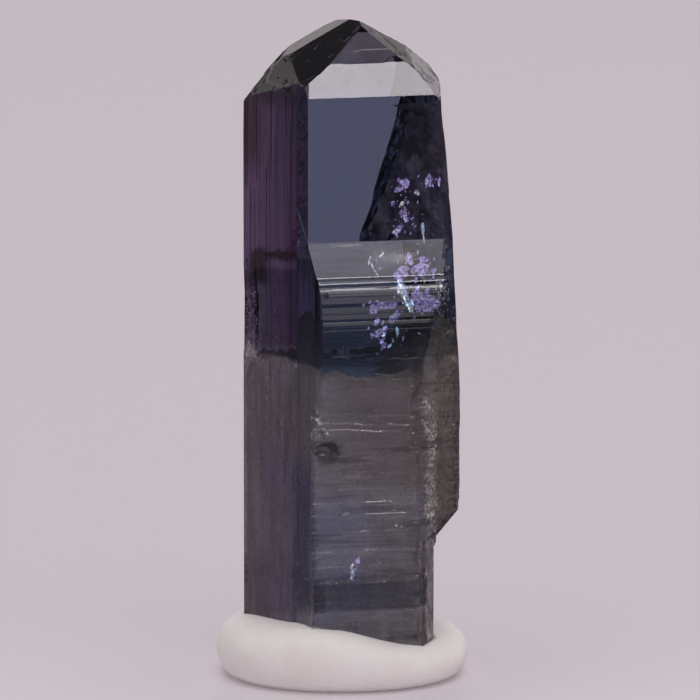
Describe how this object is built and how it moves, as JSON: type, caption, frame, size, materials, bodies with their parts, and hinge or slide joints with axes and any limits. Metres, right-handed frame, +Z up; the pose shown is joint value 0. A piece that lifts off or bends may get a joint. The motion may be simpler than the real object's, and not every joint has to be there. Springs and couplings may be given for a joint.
{
  "type": "tanzanite crystal",
  "caption": "Prismatic violet-blue tanzanite crystal with a faceted tip and striated, frosted lower faces, held upright in a pressed pad of white mounting putty.",
  "frame": {"origin": "on the resting surface, under the middle of the putty pad's outline", "axes": "+Z up along the crystal's length, -Y towards the front, the side of the broad clear face"},
  "size_m": [0.0102, 0.0094, 0.0265],
  "materials": {
    "crystal": "natural crystal faces, glassy at the tip and frosted with fine growth lines lower down",
    "putty": "matt hand-pressed putty"
  },
  "bodies": {
    "root": {"crystal": "crystal", "putty_base": "putty"}
  },
  "joints": []
}
